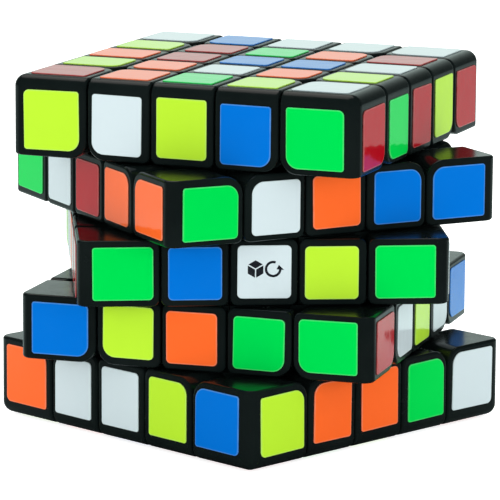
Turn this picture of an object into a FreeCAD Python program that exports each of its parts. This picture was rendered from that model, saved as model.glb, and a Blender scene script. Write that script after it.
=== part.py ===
"""Twisty puzzle cube of five by five by five cells, stored with its layers turned about the upright axis.

Every layer is cut from its neighbour by one surface of revolution about the axis that the layer turns on.
Seen from outside, that surface is flat. Further in, the outer layer's surface drops along a cone to the
middle of the cube, so that all pieces reach down to the core, and close to the core it steps out again. The
step makes a foot on each piece, and the foot is held under the piece beside it. A piece is the space that
three such layers share. The centre pieces are held to the core by sprung screws.

The frame: Z is up, X is to the right and Y points away. The origin is on the turning axis of the layers, on
the surface that the cube stands on. Pieces are made about the middle of the cube, in the cell with its X, Y
and Z towards the positive side, and links put copies of them in the other cells.
"""

import FreeCAD, Part
import Sketcher
import itertools
import os
import re

DIMENSIONS = [
    ("edge", 62.0, "edge of the whole cube, over its stickers"),
    ("inner_layer", 11.4, "thickness of each of the three inner layers; the outer two share the rest"),
    ("wall_gap", 0.15, "half of the gap between two blocks"),
    ("turn_gap", 0.1, "half of the gap between two stems or feet"),
    ("neck_rise", 30.2, "slope in degrees of the cone between an outer layer and the layer under it"),
    ("foot_rise", 25.5, "slope of the same cone in the feet"),
    ("foot_top", 17.0, "radius of the ball that the tops of the feet lie on"),
    ("foot_half", 4.2, "half thickness of the middle layer in the feet"),
    ("hollow", 12.8, "radius of the hollow that the feet leave for the core"),
    ("stem_ball", 30.2, "radius of the ball that holds the stems"),
    ("corner_ball", 34.0, "radius of the same ball for the corners"),
    ("reach", 48.0, "a length past every corner of the cube"),
    ("skin", 1.6, "wall of the hollow blocks"),
    ("edge_round", 2.0, "rounding of the outer edges of the cube"),
    ("notch_round", 3.0, "rounding where a corner, two wings and a corner-side centre meet"),
    ("soft_round", 1.2, "rounding of the other upright block edges"),
    ("rim_round", 0.5, "rounding around the outer faces of a block"),
    ("sticker_thick", 0.2, "thickness of a sticker"),
    ("sticker_gap", 1.25, "sticker to the middle of the gap between two layers"),
    ("sticker_rim", 2.6, "sticker to the edge of the cube"),
    ("sticker_notch", 2.1, "sticker corner at a notch"),
    ("sticker_soft", 0.8, "sticker corner between inner layers"),
    ("sticker_outer", 1.0, "sticker corner at a corner of the cube"),
    ("sticker_edge", 0.5, "sticker corner at an edge of the cube"),
    ("cap_thick", 2.0, "plate of a centre cap"),
    ("plug_depth", 2.2, "ring under a centre cap"),
    ("plug_wall", 0.85, "wall of that ring"),
    ("plug_play", 0.05, "clearance of that ring in its well"),
    ("well_radius", 4.2, "well in a fixed centre, for its screw and spring"),
    ("well_floor", 19.0, "height of the floor of the well above the middle of the cube"),
    ("centre_ball", 27.5, "radius of the ball that ends the stem of a fixed centre"),
    ("screw_radius", 1.5, "shank of a screw"),
    ("screw_play", 0.06, "running clearance of a fixed centre around its screw"),
    ("screw_tip", 6.6, "height of the tip of a screw"),
    ("head_radius", 2.8, "head of a screw"),
    ("head_thick", 1.9, "thickness of that head"),
    ("head_base", 24.0, "height of the underside of that head"),
    ("recess_long", 3.2, "length of the cross recess"),
    ("recess_wide", 0.8, "width of the cross recess"),
    ("recess_deep", 1.1, "depth of the cross recess"),
    ("washer_radius", 3.3, "outside of a washer"),
    ("washer_bore", 1.6, "bore of a washer"),
    ("washer_thick", 0.6, "thickness of a washer"),
    ("wire_radius", 0.3, "wire of a spring"),
    ("coil_radius", 2.35, "middle line of a spring"),
    ("coil_pitch", 1.2, "pitch of a spring"),
    ("coil_play", 0.2, "space left above and under a spring"),
    ("hub_radius", 6.4, "ball in the middle of the core"),
    ("arm_radius", 3.4, "arm of the core"),
    ("arm_end", 12.2, "end of an arm"),
    ("thread_radius", 1.35, "hole in an arm, cut by the screw's thread"),
    ("thread_floor", 5.8, "floor of that hole"),
    ("bottom_turn", 40.9, "turn in degrees of the bottom layer as stored"),
    ("lower_turn", -22.0, "turn of the lower inner layer"),
    ("middle_turn", 0.0, "turn of the middle layer"),
    ("upper_turn", 23.1, "turn of the upper inner layer"),
    ("top_turn", -26.1, "turn of the top layer"),
]
ALIASES = [alias for alias, value, meaning in DIMENSIONS]

# A layer's range along an axis, from the middle of the cube, for cells 0, 1 and 2.
BLOCK_SPAN = {
    0: ("wall_gap - inner_layer / 2", "inner_layer / 2 - wall_gap"),
    1: ("inner_layer / 2 + wall_gap", "1.5 * inner_layer - wall_gap"),
    2: ("1.5 * inner_layer + wall_gap", "edge / 2 - sticker_thick"),
}
STICKER_SPAN = {
    -1: ("sticker_gap - 1.5 * inner_layer", "-inner_layer / 2 - sticker_gap"),
    0: ("sticker_gap - inner_layer / 2", "inner_layer / 2 - sticker_gap"),
    1: ("inner_layer / 2 + sticker_gap", "1.5 * inner_layer - sticker_gap"),
    2: ("1.5 * inner_layer + sticker_gap", "edge / 2 - sticker_rim"),
}
FACE = "edge / 2 - sticker_thick"

# An edge of a block is named by the axis that it runs along, and by the side that it is on, low or high,
# along each of the other two axes in turn.
CORNER_ROUNDS = [
    ("edge_round", ["x hi hi", "y hi hi", "z hi hi"]),
    ("notch_round", ["x lo lo", "y lo lo", "z lo lo"]),
    ("rim_round", ["x lo hi", "x hi lo", "y lo hi", "y hi lo", "z lo hi", "z hi lo"]),
]
WING_ROUNDS = [
    ("edge_round", ["y hi hi"]),
    ("notch_round", ["z lo hi", "x hi lo"]),
    ("soft_round", ["z lo lo", "x lo lo"]),
    ("rim_round", ["y lo hi", "x lo hi", "x hi hi", "y hi lo", "z hi lo", "z hi hi"]),
]
EDGE_ROUNDS = [
    ("edge_round", ["y hi hi"]),
    ("soft_round", ["z lo hi", "x hi lo", "z lo lo", "x lo lo"]),
    ("rim_round", ["y lo hi", "x lo hi", "x hi hi", "y hi lo", "z hi lo", "z hi hi"]),
]
DIAGONAL_ROUNDS = [
    ("notch_round", ["z hi hi"]),
    ("soft_round", ["z lo lo", "z lo hi", "z hi lo"]),
    ("rim_round", ["x lo hi", "x hi hi", "y lo hi", "y hi hi"]),
]
PLAIN_ROUNDS = [
    ("soft_round", ["z lo lo", "z lo hi", "z hi lo", "z hi hi"]),
    ("rim_round", ["x lo hi", "x hi hi", "y lo hi", "y hi hi"]),
]
BODY_ROUNDS = [("soft_round", ["z lo lo", "z lo hi", "z hi lo", "z hi hi"])]

# Each kind of piece: its first cell, the ball that its stem ends in, and the rounding of its block.
KINDS = {
    "corner": ((2, 2, 2), "corner_ball", CORNER_ROUNDS),
    "wing": ((2, 1, 2), "stem_ball", WING_ROUNDS),
    "middle_edge": ((2, 0, 2), "stem_ball", EDGE_ROUNDS),
    "diagonal_centre": ((1, 1, 2), "stem_ball", DIAGONAL_ROUNDS),
    "side_centre": ((1, 0, 2), "stem_ball", PLAIN_ROUNDS),
}

# Each kind of sticker: its first cell on the top face and the rounding of its corners.
STICKERS = {
    "corner_sticker": ((2, 2), [("sticker_notch", ["z lo lo"]), ("sticker_outer", ["z hi hi"]),
                                ("sticker_edge", ["z lo hi", "z hi lo"])]),
    "left_wing_sticker": ((2, 1), [("sticker_notch", ["z lo hi"]), ("sticker_soft", ["z lo lo"]),
                                   ("sticker_edge", ["z hi lo", "z hi hi"])]),
    "right_wing_sticker": ((2, -1), [("sticker_notch", ["z lo lo"]), ("sticker_soft", ["z lo hi"]),
                                     ("sticker_edge", ["z hi lo", "z hi hi"])]),
    "middle_edge_sticker": ((2, 0), [("sticker_soft", ["z lo lo", "z lo hi"]),
                                     ("sticker_edge", ["z hi lo", "z hi hi"])]),
    "diagonal_sticker": ((1, 1), [("sticker_notch", ["z hi hi"]),
                                  ("sticker_soft", ["z lo lo", "z lo hi", "z hi lo"])]),
    "side_sticker": ((1, 0), [("sticker_soft", ["z lo lo", "z lo hi", "z hi lo", "z hi hi"])]),
    "fixed_sticker": ((0, 0), [("sticker_soft", ["z lo lo", "z lo hi", "z hi lo", "z hi hi"])]),
}

LAYERS = {-2: "bottom", -1: "lower", 0: "middle", 1: "upper", 2: "top"}
SIDES = {"front": (0, -1), "right": (1, 0), "back": (0, 1), "left": (-1, 0)}
CORNERS = {"front_left": (-1, -1), "front_right": (1, -1), "back_right": (1, 1), "back_left": (-1, 1)}

doc = FreeCAD.newDocument("puzzle_cube")


# ---- the sheet ----

def make_sheet():
    """The spreadsheet that every size comes from."""
    made = doc.addObject("Spreadsheet::Sheet", "Sheet")
    for row, (alias, value, meaning) in enumerate(DIMENSIONS, start=1):
        made.set(f"A{row}", meaning)
        made.set(f"B{row}", str(value))
        made.setAlias(f"B{row}", alias)
    doc.recompute()
    return made


sheet = make_sheet()


def bound(text):
    """An expression with the sheet's name put before each alias."""
    def named(found):
        return f"Sheet.{found[0]}" if found[0] in ALIASES else found[0]
    return re.sub(r"[a-z_]+", named, str(text))


def value_of(text):
    """What an expression of aliases comes to, in millimetres."""
    return float(sheet.evalExpression(bound(text)))


# ---- primitives and booleans, with their sizes bound to the sheet ----

def solid(kind, name, base_z="0", **sizes):
    """A Part primitive that stands on base_z."""
    made = doc.addObject(kind, name)
    for prop, text in sizes.items():
        made.setExpression(prop, bound(text))
    made.setExpression("Placement.Base.z", bound(base_z))
    return made


def cylinder(name, radius, low, high):
    """An upright cylinder between two heights."""
    return solid("Part::Cylinder", name, low, Radius=radius, Height=f"({high}) - ({low})")


def ball(name, radius):
    """A ball about the middle of the cube."""
    return solid("Part::Sphere", name, Radius=radius)


def cone(name, rise, tip, height):
    """A cone that opens upwards from its tip, with its side at the slope rise."""
    return solid("Part::Cone", name, tip, Radius1="0", Radius2=f"({height}) / tan({rise})", Height=height)


def fused(name, *parts):
    """The parts as one solid."""
    made = doc.addObject("Part::MultiFuse", name)
    made.Shapes = list(parts)
    return made


def shared(name, *parts):
    """What all the parts share."""
    made = doc.addObject("Part::MultiCommon", name)
    made.Shapes = list(parts)
    return made


def cut(name, base, *tools):
    """The base with the tools taken away, one after the other."""
    made = base
    for count, tool in enumerate(tools, start=1):
        step = doc.addObject("Part::Cut", name if count == len(tools) else f"{name}_step_{count}")
        step.Base = made
        step.Tool = tool
        made = step
    return made


def linked(name, source, rotation):
    """A copy of source where it stands, then turned about the middle of the cube."""
    made = doc.addObject("App::Link", name)
    made.LinkedObject = source
    made.LinkTransform = True
    made.Placement = FreeCAD.Placement(FreeCAD.Vector(), rotation)
    return made


# ---- the space that a layer turns in ----

def outer_space(name, gap):
    """What an outer layer takes, drawn in by gap: a slab, a cone under it and the wider cone of its feet."""
    slab = cylinder(f"{name}_slab", "reach", f"1.5 * inner_layer + {gap}", "reach")
    neck = cone(f"{name}_neck", "neck_rise", f"{gap} / cos(neck_rise)", "1.5 * inner_layer + 0.5")
    flare = cone(f"{name}_flare", "foot_rise", f"{gap} / cos(foot_rise)", "foot_top")
    foot = shared(f"{name}_foot", flare, ball(f"{name}_foot_ball", f"foot_top - {gap}"))
    return fused(name, slab, neck, foot)


def above_middle(name):
    """Everything above the middle layer, with the feet that reach under it."""
    slab = cylinder(f"{name}_slab", "reach", "inner_layer / 2 + turn_gap", "reach")
    sole = cylinder(f"{name}_sole", "foot_top", "foot_half + turn_gap", "foot_top")
    foot = shared(f"{name}_foot", sole, ball(f"{name}_foot_ball", "foot_top - turn_gap"))
    return fused(name, slab, foot)


def middle_space(name):
    """The middle layer, which is thinner between the feet."""
    slab = cylinder(f"{name}_slab", "reach", "turn_gap - inner_layer / 2", "inner_layer / 2 - turn_gap")
    around = cut(f"{name}_around", slab, ball(f"{name}_foot_ball", "foot_top + turn_gap"))
    foot = cylinder(f"{name}_foot", "foot_top + 1", "turn_gap - foot_half", "foot_half - turn_gap")
    return fused(name, around, foot)


def make_spaces():
    """{(axis, cell): the space of that layer}, for the three axes and cells 0, 1 and 2."""
    outer_clearance = outer_space("outer_clearance", "(0 - turn_gap)")
    upright = {
        0: middle_space("middle_space"),
        1: cut("inner_space", above_middle("above_middle"), outer_clearance),
        2: outer_space("outer_space", "turn_gap"),
    }
    to_axis = {
        "x": FreeCAD.Rotation(FreeCAD.Vector(0, 1, 0), 90),
        "y": FreeCAD.Rotation(FreeCAD.Vector(1, 0, 0), -90),
        "z": FreeCAD.Rotation(),
    }
    return {
        (axis, cell): linked(f"{space.Name}_{axis}", space, rotation)
        for axis, rotation in to_axis.items()
        for cell, space in upright.items()
    }


# ---- blocks ----

def rectangle(body, name, x_span, y_span, base_z):
    """A rectangle on the body's XY plane, raised to base_z, with its sides bound to the sheet."""
    sketch = body.newObject("Sketcher::SketchObject", name)
    plane = next(f for f in body.Origin.OriginFeatures if f.Role == "XY_Plane")
    sketch.AttachmentSupport = [(plane, "")]
    sketch.MapMode = "FlatFace"
    sketch.setExpression("AttachmentOffset.Base.z", bound(base_z))
    x_low, x_high = (value_of(text) for text in x_span)
    y_low, y_high = (value_of(text) for text in y_span)
    points = [FreeCAD.Vector(x, y, 0) for x, y in
              ((x_low, y_low), (x_high, y_low), (x_high, y_high), (x_low, y_high))]
    for start, end in zip(points, points[1:] + points[:1]):
        sketch.addGeometry(Part.LineSegment(start, end), False)
    for line in range(4):
        sketch.addConstraint(Sketcher.Constraint("Coincident", line, 2, (line + 1) % 4, 1))
    for line in (0, 2):
        sketch.addConstraint(Sketcher.Constraint("Horizontal", line))
    for line in (1, 3):
        sketch.addConstraint(Sketcher.Constraint("Vertical", line))
    for kind, point, text in (("DistanceX", 1, x_span[0]), ("DistanceX", 2, x_span[1])):
        index = sketch.addConstraint(Sketcher.Constraint(kind, -1, 1, 0, point, value_of(text)))
        sketch.setExpression(f"Constraints[{index}]", bound(text))
    for line, point, text in ((0, 1, y_span[0]), (2, 1, y_span[1])):
        index = sketch.addConstraint(Sketcher.Constraint("DistanceY", -1, 1, line, point, value_of(text)))
        sketch.setExpression(f"Constraints[{index}]", bound(text))
    return sketch


def straight_edges(shape, box, key):
    """The names of the shape's straight edges that the key names, in a block whose plain box is box."""
    along, *sides = key.split()
    axis = "xyz".index(along)
    others = [n for n in range(3) if n != axis]
    place = [box[n][0 if side == "lo" else 1] for n, side in zip(others, sides)]
    found = []
    for number, edge in enumerate(shape.Edges, start=1):
        if edge.Degenerated or edge.Curve.TypeId != "Part::GeomLine":
            continue
        ends = [vertex.Point for vertex in edge.Vertexes]
        if all(abs(end[n] - at) < 1e-4 for end in ends for n, at in zip(others, place)):
            found.append(f"Edge{number}")
    return found


def rounded_block(name, spans, rounds):
    """A block between three pairs of planes, with its edges rounded in the order given."""
    body = doc.addObject("PartDesign::Body", name)
    outline = rectangle(body, f"{name}_outline", spans[0], spans[1], spans[2][0])
    block = body.newObject("PartDesign::Pad", f"{name}_pad")
    block.Profile = outline
    block.setExpression("Length", bound(f"({spans[2][1]}) - ({spans[2][0]})"))
    outline.Visibility = False
    doc.recompute()
    box = [[value_of(text) for text in span] for span in spans]
    feature = block
    for radius, keys in rounds:
        edges = [edge for key in keys for edge in straight_edges(feature.Shape, box, key)]
        rounding = body.newObject("PartDesign::Fillet", f"{name}_{radius}")
        rounding.Base = (feature, edges)
        rounding.setExpression("Radius", bound(radius))
        doc.recompute()
        feature = rounding
    body.Tip = feature
    return body


def hollow_box(name, spans):
    """The hollow in a block."""
    made = doc.addObject("Part::Box", name)
    for prop, axis, (low, high) in zip(("Length", "Width", "Height"), "xyz", spans):
        made.setExpression(prop, bound(f"({high}) - ({low}) - 2 * skin"))
        made.setExpression(f"Placement.Base.{axis}", bound(f"{low} + skin"))
    return made


# ---- the pieces that show ----

def make_piece(name, spaces):
    """One kind of piece: a rounded hollow block, its stem and its foot."""
    cell, stem_radius, rounds = KINDS[name]
    spans = [BLOCK_SPAN[n] for n in cell]
    block = rounded_block(f"{name}_block", spans, rounds)
    whole = fused(f"{name}_whole", block, ball(f"{name}_ball", stem_radius))
    layers = [spaces[axis, n] for axis, n in zip("xyz", cell)]
    trimmed = shared(f"{name}_trimmed", whole, *layers)
    return cut(name, trimmed, ball(f"{name}_core_space", "hollow"), hollow_box(f"{name}_hollow", spans))


def make_fixed_centre(spaces):
    """A fixed centre: a block with a stem, a well for the spring and a bore that runs on the screw."""
    name = "fixed_centre"
    spans = [BLOCK_SPAN[0], BLOCK_SPAN[0], (BLOCK_SPAN[2][0], f"{FACE} - cap_thick")]
    block = rounded_block(f"{name}_block", spans, BODY_ROUNDS)
    whole = fused(f"{name}_whole", block, ball(f"{name}_ball", "centre_ball"))
    layers = [spaces[axis, n] for axis, n in zip("xyz", (0, 0, 2))]
    trimmed = shared(f"{name}_trimmed", whole, *layers)
    well = cylinder(f"{name}_well", "well_radius", "well_floor", "reach")
    bore = cylinder(f"{name}_bore", "screw_radius + screw_play", "0", "reach")
    return cut(name, trimmed, ball(f"{name}_core_space", "hollow"), well, bore)


def make_cap():
    """The cap that closes a fixed centre, with a ring that plugs into the well."""
    spans = [BLOCK_SPAN[0], BLOCK_SPAN[0], (f"{FACE} - cap_thick", FACE)]
    plate = rounded_block("cap_plate", spans, PLAIN_ROUNDS)
    low = f"{FACE} - cap_thick - plug_depth"
    ring = cylinder("cap_ring", "well_radius - plug_play", low, f"{FACE} - cap_thick / 2")
    room = cylinder("cap_room", "well_radius - plug_play - plug_wall", low, f"{FACE} - cap_thick")
    return cut("centre_cap", fused("cap_whole", plate, ring), room)


def make_sticker(name):
    """One kind of sticker, flat on the top face."""
    (across, along), rounds = STICKERS[name]
    spans = [STICKER_SPAN[across], STICKER_SPAN[along], (FACE, "edge / 2")]
    return rounded_block(name, spans, rounds)


# ---- the pieces inside ----

def make_core():
    """The core: a ball with six arms, each with a hole for a screw."""
    arms = []
    holes = []
    turns = {
        "up": FreeCAD.Rotation(),
        "right": FreeCAD.Rotation(FreeCAD.Vector(0, 1, 0), 90),
        "back": FreeCAD.Rotation(FreeCAD.Vector(1, 0, 0), -90),
    }
    arm = cylinder("core_arm", "arm_radius", "0 - arm_end", "arm_end")
    upper = cylinder("core_hole", "thread_radius", "thread_floor", "arm_end + 1")
    for name, rotation in turns.items():
        arms.append(linked(f"core_arm_{name}", arm, rotation))
        holes.append(linked(f"core_hole_{name}", upper, rotation))
        back = rotation.multiply(FreeCAD.Rotation(FreeCAD.Vector(1, 0, 0), 180))
        holes.append(linked(f"core_hole_opposite_{name}", upper, back))
    return cut("spider", fused("core_solid", ball("core_hub", "hub_radius"), *arms), *holes)


def make_screw():
    """A screw with a pan head and a cross recess, its thread shown as a plain shank."""
    shank = cylinder("screw_shank", "screw_radius", "screw_tip", "head_base + head_thick / 2")
    head = cylinder("screw_head", "head_radius", "head_base", "head_base + head_thick")
    whole = fused("screw_whole", shank, head)
    slots = []
    for name, length, width in (("x", "recess_long", "recess_wide"), ("y", "recess_wide", "recess_long")):
        slot = solid("Part::Box", f"screw_slot_{name}", "head_base + head_thick - recess_deep",
                     Length=length, Width=width, Height="recess_deep + 1")
        slot.setExpression("Placement.Base.x", bound(f"0 - {length} / 2"))
        slot.setExpression("Placement.Base.y", bound(f"0 - {width} / 2"))
        slots.append(slot)
    return cut("screw", whole, *slots)


def make_washer():
    """A washer under a screw's head."""
    low = "head_base - washer_thick"
    disc = cylinder("washer_disc", "washer_radius", low, "head_base")
    return cut("washer", disc, cylinder("washer_hole", "washer_bore", low, "head_base"))


def make_spring():
    """A coil spring between the floor of the well and the washer."""
    low = "well_floor + coil_play + wire_radius"
    high = "head_base - washer_thick - coil_play - wire_radius"
    line = solid("Part::Helix", "spring_line", low, Radius="coil_radius", Pitch="coil_pitch",
                 Height=f"({high}) - ({low})")
    wire = doc.addObject("Part::Circle", "spring_wire")
    wire.setExpression("Radius", bound("wire_radius"))
    upright = FreeCAD.Rotation(FreeCAD.Vector(1, 0, 0), 90)
    wire.Placement = FreeCAD.Placement(FreeCAD.Vector(), upright)
    wire.setExpression("Placement.Base.x", bound("coil_radius"))
    wire.setExpression("Placement.Base.z", bound(low))
    coil = doc.addObject("Part::Sweep", "spring")
    coil.Sections = [wire]
    coil.Spine = (line, ["Edge1"])
    coil.Solid = True
    coil.Frenet = True
    return coil


# ---- copies in their cells ----

def all_turns():
    """The 24 ways to turn a cube, each as three signed axes and a rotation, the plain one first."""
    found = []
    for order in itertools.permutations(range(3)):
        for signs in itertools.product((1, -1), repeat=3):
            rows = [[signs[r] if c == order[r] else 0 for c in range(3)] for r in range(3)]
            matrix = FreeCAD.Matrix(*rows[0], 0, *rows[1], 0, *rows[2], 0, 0, 0, 0, 1)
            if matrix.determinant() > 0:
                found.append((order, signs, FreeCAD.Rotation(matrix)))
    return found


TURNS = all_turns()


def turned(cell, order, signs):
    """Where a turn takes a cell."""
    return tuple(sign * cell[axis] for sign, axis in zip(signs, order))


def rotation_to(first, cell):
    """The first turn that takes one cell to another."""
    return next(rotation for order, signs, rotation in TURNS if turned(first, order, signs) == cell)


def make_node(name, layer, copies):
    """A named sub-part on a layer: copies is a list of (source, rotation)."""
    made = doc.addObject("Part::Compound", name)
    made.Label = name
    made.Links = [linked(f"{name}_copy_{count}", source, rotation)
                  for count, (source, rotation) in enumerate(copies, start=1)]
    upright = FreeCAD.Vector(0, 0, 1)
    made.Placement = FreeCAD.Placement(upright, FreeCAD.Rotation(upright, 1))
    made.setExpression("Placement.Base.z", bound("edge / 2"))
    made.setExpression("Placement.Rotation.Angle", bound(f"{layer}_turn"))
    return made


def cells_of(kind, level):
    """The cells on one level that a kind of piece fills."""
    first = KINDS[kind][0]
    return sorted({turned(first, order, signs) for order, signs, rotation in TURNS
                   if turned(first, order, signs)[2] == level})


def pieces_at(kind, source, cells):
    """(source, rotation) for each cell."""
    return [(source, rotation_to(KINDS[kind][0], cell)) for cell in cells]


def stickers_at(sources, face_filter):
    """(source, rotation) for each sticker whose cell and face face_filter accepts.
    A sticker's cell counts 3 along the axis that it faces."""
    copies = []
    for kind, ((across, along), rounds) in STICKERS.items():
        placed = set()
        for order, signs, rotation in TURNS:
            cell = turned((across, along, 3), order, signs)
            if cell not in placed and face_filter(cell):
                placed.add(cell)
                copies.append((sources[kind], rotation))
    return copies


def outer_layer_nodes(layer, level, pieces):
    """The nodes of the top or the bottom layer, apart from its stickers."""
    up = 1 if level > 0 else -1
    facing = rotation_to((0, 0, 1), (0, 0, up))
    nodes = [
        make_node(f"{layer}_centre", layer, [(pieces["fixed_centre"], facing)]),
        make_node(f"{layer}_centre_cap", layer, [(pieces["centre_cap"], facing)]),
    ]
    for corner, (x, y) in CORNERS.items():
        copies = pieces_at("corner", pieces["corner"], [(2 * x, 2 * y, level)])
        nodes.append(make_node(f"{layer}_corner_{corner}", layer, copies))
    for side, (x, y) in SIDES.items():
        copies = pieces_at("middle_edge", pieces["middle_edge"], [(2 * x, 2 * y, level)])
        nodes.append(make_node(f"{layer}_edge_{side}", layer, copies))
    for kind in ("wing", "diagonal_centre", "side_centre"):
        copies = pieces_at(kind, pieces[kind], cells_of(kind, level))
        nodes.append(make_node(f"{layer}_{kind}s", layer, copies))
    return nodes


def inner_layer_nodes(layer, level, pieces):
    """The nodes of an inner layer that isn't the middle one, apart from its stickers."""
    return [
        make_node(f"{layer}_{kind}s", layer, pieces_at(kind, pieces[kind], cells_of(kind, level)))
        for kind in ("wing", "diagonal_centre", "side_centre")
    ]


def middle_layer_nodes(pieces):
    """The nodes of the middle layer, with the core and what holds the centres to it."""
    nodes = [make_node("core", "middle", [(pieces["spider"], FreeCAD.Rotation())])]
    six = [rotation_to((0, 0, 1), axis) for axis in
           ((0, 0, 1), (0, 0, -1), (1, 0, 0), (-1, 0, 0), (0, 1, 0), (0, -1, 0))]
    for name in ("screw", "washer", "spring"):
        copies = [(pieces[name], rotation) for rotation in six]
        nodes.append(make_node(f"centre_{name}s", "middle", copies))
    for side, (x, y) in SIDES.items():
        facing = rotation_to((0, 0, 1), (x, y, 0))
        nodes.append(make_node(f"{side}_centre", "middle", [(pieces["fixed_centre"], facing)]))
        nodes.append(make_node(f"{side}_centre_cap", "middle", [(pieces["centre_cap"], facing)]))
        beside = [cell for cell in cells_of("side_centre", 0) if 2 in (cell[0] * x, cell[1] * y)]
        copies = pieces_at("side_centre", pieces["side_centre"], beside)
        nodes.append(make_node(f"{side}_side_centres", "middle", copies))
    for corner, (x, y) in CORNERS.items():
        copies = pieces_at("middle_edge", pieces["middle_edge"], [(2 * x, 2 * y, 0)])
        nodes.append(make_node(f"middle_edge_{corner}", "middle", copies))
    return nodes


def sticker_nodes(stickers):
    """The stickers of each layer, with those on the underside of the cube in a node of their own."""
    nodes = []
    for level, layer in LAYERS.items():
        def on_layer(cell, level=level):
            return cell[2] == level or (level == 2 and cell[2] == 3)
        nodes.append(make_node(f"{layer}_stickers", layer, stickers_at(stickers, on_layer)))
    underside = stickers_at(stickers, lambda cell: cell[2] == -3)
    nodes.append(make_node("underside_stickers", "bottom", underside))
    return nodes


# ---- the whole cube ----

def check_states():
    """Stops if any object of the document failed."""
    failed = [found.Name for found in doc.Objects if {"Invalid", "Error"} & set(found.State)]
    if failed:
        raise RuntimeError(f"these objects failed: {failed}")


def export(nodes):
    """Writes each node's shape to parts/NODE.step."""
    os.makedirs("parts", exist_ok=True)
    for old in os.listdir("parts"):
        os.remove(os.path.join("parts", old))
    for node in nodes:
        shape = node.Shape
        if shape.isNull() or not shape.isValid() or not shape.Solids:
            raise RuntimeError(f"{node.Label} has no valid shape")
        shape.exportStep(f"parts/{node.Label}.step")


def main():
    spaces = make_spaces()
    pieces = {kind: make_piece(kind, spaces) for kind in KINDS}
    pieces["fixed_centre"] = make_fixed_centre(spaces)
    pieces["centre_cap"] = make_cap()
    pieces["spider"] = make_core()
    pieces["screw"] = make_screw()
    pieces["washer"] = make_washer()
    pieces["spring"] = make_spring()
    stickers = {kind: make_sticker(kind) for kind in STICKERS}
    doc.recompute()
    check_states()
    nodes = middle_layer_nodes(pieces)
    for level, layer in LAYERS.items():
        if abs(level) == 2:
            nodes += outer_layer_nodes(layer, level, pieces)
        elif level:
            nodes += inner_layer_nodes(layer, level, pieces)
    nodes += sticker_nodes(stickers)
    doc.recompute()
    check_states()
    export(nodes)
    for kind, piece in {**pieces, **stickers}.items():
        print(kind, round(piece.Shape.Volume, 2), piece.Shape.isValid(), len(piece.Shape.Solids))
    print(len(nodes), "nodes")


main()
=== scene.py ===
"""The looks of a stickered twisty puzzle cube of five layers each way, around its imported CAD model.

The CAD cubies keep their meshes and get black ABS. Each sticker is made again from its CAD outline, with a
rolled rim, and the stickers of one colour on one layer are one piece. Lengths are in metres, angles in
degrees and colours in linear RGB.
"""

import math
import random

import bmesh
import bpy
from mathutils import Matrix, Vector


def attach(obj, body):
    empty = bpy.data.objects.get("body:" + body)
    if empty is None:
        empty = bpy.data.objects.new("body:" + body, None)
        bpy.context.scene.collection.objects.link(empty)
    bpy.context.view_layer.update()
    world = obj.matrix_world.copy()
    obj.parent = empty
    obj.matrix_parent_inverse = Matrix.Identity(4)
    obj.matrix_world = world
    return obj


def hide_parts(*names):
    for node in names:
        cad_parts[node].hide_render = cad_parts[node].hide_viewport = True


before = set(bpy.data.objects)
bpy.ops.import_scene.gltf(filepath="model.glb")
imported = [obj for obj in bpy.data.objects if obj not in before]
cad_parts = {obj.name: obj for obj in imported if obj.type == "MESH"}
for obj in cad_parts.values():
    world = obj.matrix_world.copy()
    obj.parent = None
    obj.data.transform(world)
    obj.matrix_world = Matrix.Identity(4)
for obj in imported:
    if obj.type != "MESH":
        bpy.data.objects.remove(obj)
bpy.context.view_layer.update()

MM = 0.001
MICRON = 0.000001

# Half the cube's edge over its stickers, and the limits between its layers, from its middle.
HALF_CUBE = 31.0 * MM
LAYER_LIMITS = [-17.1 * MM, -5.7 * MM, 5.7 * MM, 17.1 * MM]

# Each layer's body and its turn about the upright axis.
LAYERS = {
    "top": ("top_layer", -26.1),
    "upper": ("upper_layer", 23.1),
    "middle": ("core_and_middle_layer", 0.0),
    "lower": ("lower_layer", -22.0),
    "bottom": ("bottom_layer", 40.9),
}

# The stickers on each layer's sides, from left to right as one faces the side.
SIDE_COLOURS = {
    "top": {"front": "ywybg", "right": "rgryr", "back": "brorb", "left": "obbog"},
    "upper": {"front": "gwobb", "right": "oygby", "back": "grorw", "left": "gwroo"},
    "middle": {"front": "gbwyg", "right": "wbrwr", "back": "brywr", "left": "yworr"},
    "lower": {"front": "byogg", "right": "rwywb", "back": "wyygy", "left": "obygw"},
    "bottom": {"front": "yoogw", "right": "grbog", "back": "ybgwb", "left": "owwyb"},
}

# The stickers on the level faces, in rows from front to back, each from left to right as seen from above.
LEVEL_COLOURS = {
    "top": ["rogyw", "yowoy", "orbbw", "yrgor", "wbwww"],
    "underside": ["rgywo", "rgbyg", "boggy", "orgbb", "yroro"],
}

# Each sticker colour: its name, its colour and the tint of its gloss seen straight on.
COLOURS = {
    "w": ("white", (0.60, 0.71, 0.74), (1.0, 1.0, 1.0)),
    "y": ("yellow", (0.47, 0.81, 0.032), (1.0, 1.0, 1.0)),
    "o": ("orange", (0.95, 0.140, 0.022), (1.0, 1.0, 1.0)),
    "r": ("red", (0.41, 0.002, 0.010), (1.0, 0.6, 0.6)),
    "g": ("green", (0.0, 0.65, 0.073), (0.0, 1.0, 1.0)),
    "b": ("blue", (0.0, 0.155, 0.62), (0.4, 1.0, 1.0)),
}


# ---- node helpers ----

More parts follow.
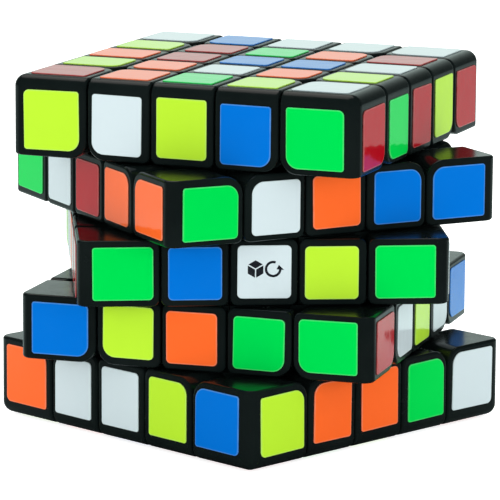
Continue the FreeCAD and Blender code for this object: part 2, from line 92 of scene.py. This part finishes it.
class Nodes:
    """A node tree, with short calls to add and join nodes. Their inputs are numbers, colours or sockets."""

    def __init__(self, tree):
        self.tree = tree
        place = self.add("ShaderNodeTexCoord")
        self.place = place.outputs["Object"]
        self.generated = place.outputs["Generated"]

    def feed(self, node, key, value):
        """Sets an input of a node, or joins another node's socket to it."""
        if isinstance(value, bpy.types.NodeSocket):
            self.tree.links.new(value, node.inputs[key])
        else:
            node.inputs[key].default_value = value

    def add(self, kind, inputs=None, **settings):
        """A node with its settings and inputs."""
        node = self.tree.nodes.new(kind)
        for key, value in settings.items():
            setattr(node, key, value)
        for key, value in (inputs or {}).items():
            self.feed(node, key, value)
        return node

    def noise(self, scale, detail=2.0, roughness=0.5, stretch=None, turn=(0, 0, 0)):
        """Noise with about scale blobs to the metre. It is seldom under 0.3 or over 0.7."""
        place = self.place
        if stretch:
            mapping = {"Vector": place, "Scale": stretch, "Rotation": turn}
            place = self.add("ShaderNodeMapping", mapping).outputs["Vector"]
        inputs = {"Vector": place, "Scale": scale, "Detail": detail, "Roughness": roughness}
        return self.add("ShaderNodeTexNoise", inputs).outputs["Fac"]

    def spread(self, value, low, high, from_low=0.3, from_high=0.7):
        """The value's range from_low to from_high, spread over low to high."""
        inputs = {"Value": value, "From Min": from_low, "From Max": from_high, "To Min": low, "To Max": high}
        return self.add("ShaderNodeMapRange", inputs).outputs["Result"]

    def math(self, operation, first, second):
        """The result of an operation on two numbers, such as ADD."""
        return self.add("ShaderNodeMath", {0: first, 1: second}, operation=operation).outputs[0]

    def mix(self, share, first, second):
        """A colour between two others."""
        return self.add("ShaderNodeMix", {0: share, 6: first, 7: second}, data_type="RGBA").outputs[2]

    def blend(self, share, first, second):
        """A number between two others."""
        return self.add("ShaderNodeMix", {0: share, 2: first, 3: second}).outputs[0]

    def bump(self, height, depth, strength=1.0, under=None):
        """A bump that is as deep as depth where the height is 1, on top of another bump."""
        inputs = {"Height": height, "Distance": depth, "Strength": strength}
        if under is not None:
            inputs["Normal"] = under
        return self.add("ShaderNodeBump", inputs).outputs["Normal"]


class Material(Nodes):
    """The nodes of a new material with a Principled surface."""

    def __init__(self, name):
        self.material = bpy.data.materials.new(name)
        self.material.use_nodes = True
        super().__init__(self.material.node_tree)
        self.surface = self.tree.nodes["Principled BSDF"]

    def give(self, key, value):
        """Sets an input of the surface, or joins a socket to it."""
        self.feed(self.surface, key, value)


def shaded(colour, factor):
    """A colour with alpha, each channel times a factor."""
    return (*(min(1.0, channel * factor) for channel in colour), 1.0)


# ---- materials ----

ABS_CLEAN = (0.0040, 0.0072, 0.0070, 1.0)
ABS_DUSTY = (0.0070, 0.0115, 0.0110, 1.0)
ABS_IOR = 1.26
# Where the noise turns into a hairline, and how each set of hairlines is stretched and, in radians, turned.
HAIRLINE = {"from_low": 0.62, "from_high": 0.72}
HAIRLINES_ONE = {"stretch": (1.0, 14.0, 9.0), "turn": (0.5, 0.3, 0.9)}
HAIRLINES_TWO = {"stretch": (12.0, 1.0, 10.0), "turn": (0.2, 0.8, 0.4)}


def black_abs():
    """Glossy black moulded ABS, not quite flat, with dust, wipe marks and hairline scratches."""
    m = Material("black_abs")
    dust = m.spread(m.noise(90.0, detail=5.0, roughness=0.6), 0.0, 1.0, from_low=0.35, from_high=0.8)
    m.give("Base Color", m.mix(dust, ABS_CLEAN, ABS_DUSTY))
    smudges = m.spread(m.noise(55.0, detail=4.0, roughness=0.62), 0.17, 0.27)
    grain = m.spread(m.noise(900.0), -0.02, 0.02)
    m.give("Roughness", m.math("ADD", smudges, grain))
    m.give("IOR", ABS_IOR)
    one = m.spread(m.noise(420.0, detail=3.0, **HAIRLINES_ONE), 0.0, 1.0, **HAIRLINE)
    two = m.spread(m.noise(380.0, detail=3.0, **HAIRLINES_TWO), 0.0, 1.0, **HAIRLINE)
    waves = m.bump(m.noise(160.0), depth=30 * MICRON)
    m.give("Normal", m.bump(m.math("ADD", one, two), depth=3 * MICRON, strength=0.25, under=waves))
    return m.material


VINYL_IOR = 1.5
VINYL_DARKEST = 0.975
VINYL_PALEST = 1.025
# The colour of the painted highlight along each sticker's cut edge, where the edge would catch the light.
EDGE_HIGHLIGHT_PAINT = (0.50, 0.74, 0.66, 1.0)
RIM_LAYER = "rim"


def vinyl(name, colour, sheen):
    """Glossy sticker vinyl, not quite flat, with smudges, an orange peel and a painted highlight along its
    cut edge.
    """
    m = Material(f"{name}_vinyl")
    each = m.add("ShaderNodeNewGeometry").outputs["Random Per Island"]
    of_sticker = m.spread(each, 0.0, 0.6, from_low=0.0, from_high=1.0)
    of_spot = m.spread(m.noise(70.0, detail=4.0, roughness=0.6), 0.0, 0.4)
    tint = m.math("ADD", of_sticker, of_spot)
    film = m.mix(tint, shaded(colour, VINYL_DARKEST), shaded(colour, VINYL_PALEST))
    rim = m.add("ShaderNodeAttribute", attribute_name=RIM_LAYER).outputs["Fac"]
    # The rim is painted paler, fading out over the ring inside it: a painted highlight on the cut edge.
    pale = m.math("MULTIPLY", rim, m.spread(m.noise(500.0, detail=3.0), 0.07, 0.17))
    m.give("Base Color", m.mix(pale, film, EDGE_HIGHLIGHT_PAINT))
    smudges = m.spread(m.noise(120.0, detail=5.0, roughness=0.65), 0.05, 0.12)
    m.give("Roughness", m.math("ADD", smudges, m.math("MULTIPLY", rim, 0.15)))
    m.give("IOR", VINYL_IOR)
    m.give("Specular Tint", (*sheen, 1.0))
    waves = m.bump(m.noise(260.0), depth=60 * MICRON)
    m.give("Normal", m.bump(m.noise(1300.0), depth=4 * MICRON, strength=0.3, under=waves))
    return m.material


INK_DARK = (0.006, 0.009, 0.013, 1.0)
INK_PALE = (0.014, 0.018, 0.024, 1.0)


def mark_ink():
    """The dark print of the mark."""
    m = Material("mark_ink")
    m.give("Base Color", m.mix(m.spread(m.noise(1500.0, detail=3.0), 0.0, 1.0), INK_DARK, INK_PALE))
    m.give("Roughness", m.spread(m.noise(600.0), 0.14, 0.22))
    return m.material


CORE_DARK = (0.68, 0.68, 0.65, 1.0)
CORE_PALE = (0.76, 0.76, 0.74, 1.0)


def core_plastic():
    """Plain white moulded plastic."""
    m = Material("core_plastic")
    m.give("Base Color", m.mix(m.spread(m.noise(200.0, detail=3.0), 0.0, 1.0), CORE_DARK, CORE_PALE))
    m.give("Roughness", m.spread(m.noise(500.0, detail=3.0), 0.35, 0.5))
    m.give("Normal", m.bump(m.noise(2500.0), depth=8 * MICRON, strength=0.4))
    return m.material


def steel(name, colour, smoothest, roughest):
    """Plated or drawn steel, with fine marks."""
    m = Material(name)
    stains = m.spread(m.noise(800.0, detail=3.0), 0.0, 1.0)
    m.give("Base Color", m.mix(stains, shaded(colour, 0.85), shaded(colour, 1.1)))
    m.give("Metallic", 1.0)
    m.give("Roughness", m.spread(m.noise(1500.0, detail=3.0), smoothest, roughest))
    m.give("Normal", m.bump(m.noise(4000.0), depth=5 * MICRON, strength=0.5))
    return m.material


def paint_cad_nodes():
    """Gives every CAD node its material. Only the sticker nodes are replaced later."""
    zinc_steel = steel("zinc_steel", (0.62, 0.62, 0.64), smoothest=0.22, roughest=0.4)
    spring_steel = steel("spring_steel", (0.5, 0.5, 0.52), smoothest=0.18, roughest=0.32)
    special = {
        "core": core_plastic(),
        "centre_screws": zinc_steel,
        "centre_washers": zinc_steel,
        "centre_springs": spring_steel,
    }
    plain = black_abs()
    for name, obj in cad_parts.items():
        for slot in obj.material_slots:
            slot.material = special.get(name, plain)


# ---- stickers ----

# How near two CAD points are to be one point, and how level two CAD faces are to be one face.
WELD = 0.5 * MICRON
FLAT_WITHIN = 1.0
# The rolled rim and the ring inside it, over which the painted edge highlight fades out.
RIM = 0.09 * MM
RIM_STEPS = 3
HIGHLIGHT_FADE_RING = 0.16 * MM
# The most that a sticker sits off its place.
SLIP = 0.2 * MM
TWIST = 0.8
# Between the area of a sticker's flat faces and that of any face of its rim and sides, in square metres.
SMALL_FACE = 20e-6


def islands(mesh):
    """The separate closed surfaces of a mesh, each as (points, faces)."""
    joined = bmesh.new()
    joined.from_mesh(mesh)
    bmesh.ops.remove_doubles(joined, verts=joined.verts, dist=WELD)
    seen = set()
    found = []
    for seed in joined.verts:
        if seed in seen:
            continue
        group = []
        stack = [seed]
        seen.add(seed)
        while stack:
            vertex = stack.pop()
            group.append(vertex)
            for edge in vertex.link_edges:
                other = edge.other_vert(vertex)
                if other not in seen:
                    seen.add(other)
                    stack.append(other)
        index = {vertex: n for n, vertex in enumerate(group)}
        # A dict, because a set would give the faces in another order on each run.
        faces = dict.fromkeys(face for vertex in group for face in vertex.link_faces)
        found.append(([vertex.co.copy() for vertex in group],
                      [[index[vertex] for vertex in face.verts] for face in faces]))
    joined.free()
    return found


def from_middle(points):
    """The mean of some points, seen from the middle of the cube."""
    return sum(points, Vector()) / len(points) - Vector((0, 0, HALF_CUBE))


def cell_of(value):
    """The number of a cell, from -2 to 2, along one axis."""
    return sum(value > limit for limit in LAYER_LIMITS) - 2


def spot_of(layer, points):
    """A sticker's face, row and column. On a side, the row is the name of the layer."""
    _, turn = LAYERS[layer]
    middle = from_middle(points)
    middle.rotate(Matrix.Rotation(-math.radians(turn), 3, "Z"))
    x, y, _ = (cell_of(value) for value in middle)
    out = max(range(3), key=lambda axis: abs(middle[axis]))
    if out == 2:
        return "top" if middle.z > 0 else "underside", y + 2, x + 2
    side, across = {
        (1, False): ("front", x),
        (0, True): ("right", y),
        (1, True): ("back", -x),
        (0, False): ("left", -y),
    }[out, middle[out] > 0]
    return side, layer, across + 2


def colour_at(face, row, column):
    """The colour letter of the sticker on a spot."""
    if face in LEVEL_COLOURS:
        return LEVEL_COLOURS[face][row][column]
    return SIDE_COLOURS[row][face][column]


def sticker_mesh(points, faces):
    """A sticker's bmesh, with each of its flat faces in one piece."""
    sticker = bmesh.new()
    corners = [sticker.verts.new(point) for point in points]
    for face in faces:
        sticker.faces.new([corners[n] for n in face])
    bmesh.ops.recalc_face_normals(sticker, faces=sticker.faces)
    bmesh.ops.dissolve_limit(sticker, angle_limit=math.radians(FLAT_WITHIN),
                             verts=sticker.verts, edges=sticker.edges)
    return sticker


def outer_face(sticker, outwards):
    """The flat face of a sticker that looks away from the middle of the cube."""
    flats = sorted(sticker.faces, key=lambda face: -face.calc_area())[:2]
    return max(flats, key=lambda face: face.calc_center_median().dot(outwards))


def lay_by_hand(sticker, outer, spot):
    """Slides and twists a sticker a little in its own plane, in a way that belongs to its spot."""
    luck = random.Random(" ".join(str(part) for part in spot))
    across = outer.normal.orthogonal().normalized()
    along = outer.normal.cross(across)
    slide = SLIP * (luck.uniform(-1, 1) * across + luck.uniform(-1, 1) * along)
    twist = Matrix.Rotation(math.radians(TWIST) * luck.uniform(-1, 1), 4, outer.normal)
    middle = outer.calc_center_median()
    move = Matrix.Translation(middle + slide) @ twist @ Matrix.Translation(-middle)
    bmesh.ops.transform(sticker, matrix=move, verts=sticker.verts)


def roll_rim(sticker, outer, outwards):
    """Rolls a sticker's outer rim over, and returns its flat face, inside a narrow ring of faces."""
    bmesh.ops.bevel(sticker, geom=list(outer.edges), offset=RIM, offset_type="OFFSET", segments=RIM_STEPS,
                    profile=0.5, affect="EDGES", clamp_overlap=True)
    for face in sticker.faces:
        face.smooth = face.calc_area() < SMALL_FACE
    heart = outer_face(sticker, outwards)
    bmesh.ops.inset_individual(sticker, faces=[heart], thickness=HIGHLIGHT_FADE_RING)
    bmesh.ops.recalc_face_normals(sticker, faces=sticker.faces)
    return heart


def add_copy(target, sticker, inside):
    """Copies a sticker into the target mesh, in an order that is the same on every run.

    The rim layer is 0 at the points inside and 1 at all others.
    """
    rim = target.verts.layers.float[RIM_LAYER]
    ordered = sorted(sticker.verts, key=lambda vertex: vertex.co[:])
    number = {vertex: n for n, vertex in enumerate(ordered)}
    copies = []
    for vertex in ordered:
        copy = target.verts.new(vertex.co)
        copy[rim] = 0.0 if vertex in inside else 1.0
        copies.append(copy)
    rings = []
    for face in sticker.faces:
        ring = [number[vertex] for vertex in face.verts]
        start = ring.index(min(ring))
        rings.append((ring[start:] + ring[:start], face.smooth))
    for ring, smooth in sorted(rings):
        target.faces.new([copies[n] for n in ring]).smooth = smooth


def add_sticker(target, spot, points, faces):
    """Adds the sticker on a spot to the target mesh."""
    sticker = sticker_mesh(points, faces)
    outwards = from_middle(points)
    outer = outer_face(sticker, outwards)
    lay_by_hand(sticker, outer, spot)
    heart = roll_rim(sticker, outer, outwards)
    add_copy(target, sticker, set(heart.verts))
    sticker.free()


def new_piece(name, bm, material):
    """A mesh object from a bmesh, which is used up."""
    mesh = bpy.data.meshes.new(name)
    bm.to_mesh(mesh)
    bm.free()
    mesh.materials.append(material)
    piece = bpy.data.objects.new(name, mesh)
    bpy.context.scene.collection.objects.link(piece)
    return piece


def make_stickers():
    """The stickers, in a piece for each layer and colour."""
    vinyls = {letter: vinyl(*looks) for letter, looks in COLOURS.items()}
    for layer, (body, _) in LAYERS.items():
        sources = [f"{layer}_stickers"]
        if layer == "bottom":
            sources.append("underside_stickers")
        meshes = {letter: bmesh.new() for letter in COLOURS}
        for mesh in meshes.values():
            mesh.verts.layers.float.new(RIM_LAYER)
        for source in sources:
            for points, faces in islands(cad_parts[source].data):
                spot = spot_of(layer, points)
                add_sticker(meshes[colour_at(*spot)], spot, points, faces)
        for letter, (name, *_) in COLOURS.items():
            piece = new_piece(f"{layer}_{name}_stickers", meshes[letter], vinyls[letter])
            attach(piece, body)
            if letter == "w":
                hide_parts(*sources)


# ---- the mark ----

# How far the mark stands above the sticker's middle, how far its two signs stand to each side, and how far
# its plates reach in and out of the sticker's face.
MARK_RISE = 0.7 * MM
MARK_APART = 1.45 * MM
MARK_THICK = 0.012 * MM
# The edge of the drawn cube, and the share of its squares that is left clear between them.
MARK_SIDE = 1.6 * MM
MARK_GAP = 0.14
# The round arrow.
ARROW_RADIUS = 1.18 * MM
ARROW_WIDE = 0.42 * MM
ARROW_HEAD = 1.25 * MM
ARROW_START = 70
ARROW_SWEEP = 285
ARROW_TIP = 42
ARROW_STEPS = 24


def on_circle(radius, degrees):
    """A point of a circle, as (x, z)."""
    return Vector((radius * math.cos(math.radians(degrees)), radius * math.sin(math.radians(degrees))))


def cube_outlines():
    """Three tilted squares that meet in the middle, as the corner of a cube."""
    corners = [on_circle(MARK_SIDE, 90 + 60 * n) for n in range(6)]
    outlines = []
    for start in (1, 3, 5):
        square = [Vector((0, 0)), corners[start], corners[(start + 1) % 6], corners[(start + 2) % 6]]
        heart = sum(square, Vector((0, 0))) / 4
        outlines.append([heart + (point - heart) * (1 - MARK_GAP) for point in square])
    return outlines


def arrow_outline():
    """A round arrow, as for a turn."""
    steps = [ARROW_START + ARROW_SWEEP * n / ARROW_STEPS for n in range(ARROW_STEPS + 1)]
    end = steps[-1]
    outside = [on_circle(ARROW_RADIUS + ARROW_WIDE / 2, degrees) for degrees in steps]
    head = [
        on_circle(ARROW_RADIUS + ARROW_HEAD / 2, end),
        on_circle(ARROW_RADIUS, end + ARROW_TIP),
        on_circle(ARROW_RADIUS - ARROW_HEAD / 2, end),
    ]
    inside = [on_circle(ARROW_RADIUS - ARROW_WIDE / 2, degrees) for degrees in reversed(steps)]
    return outside + head + inside


def add_print(drawn, outline, across):
    """Adds a thin closed plate on the front's middle sticker, its outline moved across."""
    near, far = (
        [drawn.verts.new((across + x, depth - HALF_CUBE, HALF_CUBE + MARK_RISE + z)) for x, z in outline]
        for depth in (-MARK_THICK, MARK_THICK)
    )
    drawn.faces.new(near)
    drawn.faces.new(far[::-1])
    for n in range(len(outline)):
        after = (n + 1) % len(outline)
        drawn.faces.new([near[n], far[n], far[after], near[after]])


def make_mark():
    """A plain drawing of a cube and of a turn, printed on the front's middle sticker."""
    drawn = bmesh.new()
    for outline in cube_outlines():
        add_print(drawn, outline, -MARK_APART)
    add_print(drawn, arrow_outline(), MARK_APART)
    bmesh.ops.recalc_face_normals(drawn, faces=drawn.faces)
    mark = new_piece("front_mark", drawn, mark_ink())
    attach(mark, "core_and_middle_layer")


# ---- the camera ----

CAMERA_PLACE = Vector((-48.6, -646.4, 152.9)) * MM
CAMERA_YAW = 4.294
CAMERA_PITCH = -10.823
CAMERA_ROLL = 0.371
CAMERA_LENS_MM = 275.4
CAMERA_SENSOR_MM = 36.0
CAMERA_CLIP = 0.01


def make_camera():
    """A long lens from slightly above."""
    data = bpy.data.cameras.new("camera")
    data.lens = CAMERA_LENS_MM
    data.sensor_width = CAMERA_SENSOR_MM
    data.clip_start = CAMERA_CLIP
    camera = bpy.data.objects.new("camera", data)
    turn = (Matrix.Rotation(-math.radians(CAMERA_YAW), 4, "Z")
            @ Matrix.Rotation(math.radians(90 + CAMERA_PITCH), 4, "X")
            @ Matrix.Rotation(math.radians(CAMERA_ROLL), 4, "Z"))
    camera.matrix_world = Matrix.Translation(CAMERA_PLACE) @ turn
    bpy.context.scene.collection.objects.link(camera)
    bpy.context.scene.camera = camera


# ---- the floor, the surroundings and the lights ----

WHITE = (1.0, 1.0, 1.0, 1.0)
FLOOR_REACH = 3.0
FLOOR_DROP = 0.2 * MM
FLOOR_WHITE = (0.93, 0.93, 0.93, 1.0)
# What shines sees the floor in the first colour in front of the cube and in the second behind it, dimmer
# away from the cube: painted shade in the floor's reflection.
FLOOR_NEAR = (0.05, 0.05, 0.05, 1.0)
FLOOR_FAR = (0.72, 0.94, 0.92, 1.0)
# How brightly the floor glows, as what is matt sees it and as the camera does.
FLOOR_GLOW_MATT = 0.12
FLOOR_GLOW_SEEN = 0.8


def make_floor():
    """A plain pale floor that is clear from below. What shines sees it bright only behind the cube, with
    painted shade in its reflection elsewhere.
    """
    m = Material("floor")
    path = m.add("ShaderNodeLightPath")
    for_gloss = path.outputs["Is Glossy Ray"]
    along = m.add("ShaderNodeSeparateXYZ", {"Vector": m.place}).outputs["Y"]
    distance = m.add("ShaderNodeVectorMath", {0: m.place}, operation="LENGTH").outputs["Value"]
    behind = m.spread(along, 0.0, 1.0, from_low=-0.025, from_high=0.045)
    close = m.spread(distance, 1.0, 0.55, from_low=0.10, from_high=0.24)
    # The floor as what shines sees it, painted dark in front of the cube and dimmer away from it: a painted
    # dark reflection.
    painted_reflection = m.mix(m.math("MULTIPLY", behind, close), FLOOR_NEAR, FLOOR_FAR)
    m.give("Base Color", m.mix(for_gloss, FLOOR_WHITE, painted_reflection))
    glow = m.blend(path.outputs["Is Camera Ray"], FLOOR_GLOW_MATT, FLOOR_GLOW_SEEN)
    m.give("Emission Color", WHITE)
    m.give("Emission Strength", m.blend(for_gloss, glow, 0.0))
    m.give("Roughness", 0.9)
    m.give("Specular IOR Level", 0.0)
    from_below = m.add("ShaderNodeNewGeometry").outputs["Backfacing"]
    clear = m.add("ShaderNodeBsdfTransparent").outputs[0]
    either = m.add("ShaderNodeMixShader", {0: from_below, 1: m.surface.outputs[0], 2: clear}).outputs[0]
    m.feed(m.tree.nodes["Material Output"], "Surface", either)

    grid = bmesh.new()
    bmesh.ops.create_grid(grid, x_segments=2, y_segments=2, size=FLOOR_REACH)
    floor = new_piece("floor", grid, m.material)
    floor.location.z = -FLOOR_DROP


WORLD_GLOSS_TINT = (0.79, 0.96, 0.905, 1.0)


def make_world():
    """A white studio. What is matt sees it brighter near the horizon. What shines sees its far end only."""
    world = bpy.data.worlds.new("studio")
    bpy.context.scene.world = world
    world.use_nodes = True
    world.cycles.sampling_method = "NONE"
    w = Nodes(world.node_tree)
    background = w.tree.nodes["Background"]
    path = w.add("ShaderNodeLightPath")
    for_gloss = path.outputs["Is Glossy Ray"]
    towards = w.add("ShaderNodeSeparateXYZ", {"Vector": w.generated})
    for_matt = w.spread(towards.outputs["Z"], 1.15, 0.6, from_low=0.1, from_high=0.7)
    far_end = w.spread(towards.outputs["Y"], 0.04, 1.0, from_low=0.72, from_high=0.95)
    plain = w.blend(path.outputs["Is Diffuse Ray"], 1.0, for_matt)
    w.feed(background, "Strength", w.blend(for_gloss, plain, far_end))
    w.feed(background, "Color", w.mix(for_gloss, WHITE, WORLD_GLOSS_TINT))


LIGHT_AIM = Vector((0, 0, 0.03))

# Each light's place, size, power in watts and colour, and whether it leaves a highlight on what shines.
LIGHTS = {
    "overhead": ((-0.1, 0.3, 0.85), 0.7, 3.4, (1.0, 0.96, 0.91), True),
    "front_left": ((-0.55, -0.75, 0.12), 0.5, 2.6, (1.0, 1.0, 1.0), False),
    "front_right": ((0.55, -0.75, 0.12), 0.5, 2.6, (1.0, 1.0, 1.0), False),
}


def make_light(name, place, size, power, colour, highlight):
    """A square soft box that faces the cube."""
    data = bpy.data.lights.new(name, "AREA")
    data.color = colour
    data.size = size
    data.energy = power
    light = bpy.data.objects.new(name, data)
    light.visible_glossy = highlight
    direction = LIGHT_AIM - Vector(place)
    light.matrix_world = Matrix.Translation(place) @ direction.to_track_quat("-Z", "Y").to_matrix().to_4x4()
    bpy.context.scene.collection.objects.link(light)


def make_studio():
    """The floor, the surroundings and the lights."""
    make_floor()
    make_world()
    for name, looks in LIGHTS.items():
        make_light(name, *looks)
    bpy.context.scene.view_settings.view_transform = "Standard"


make_camera()
paint_cad_nodes()
make_stickers()
make_mark()
make_studio()
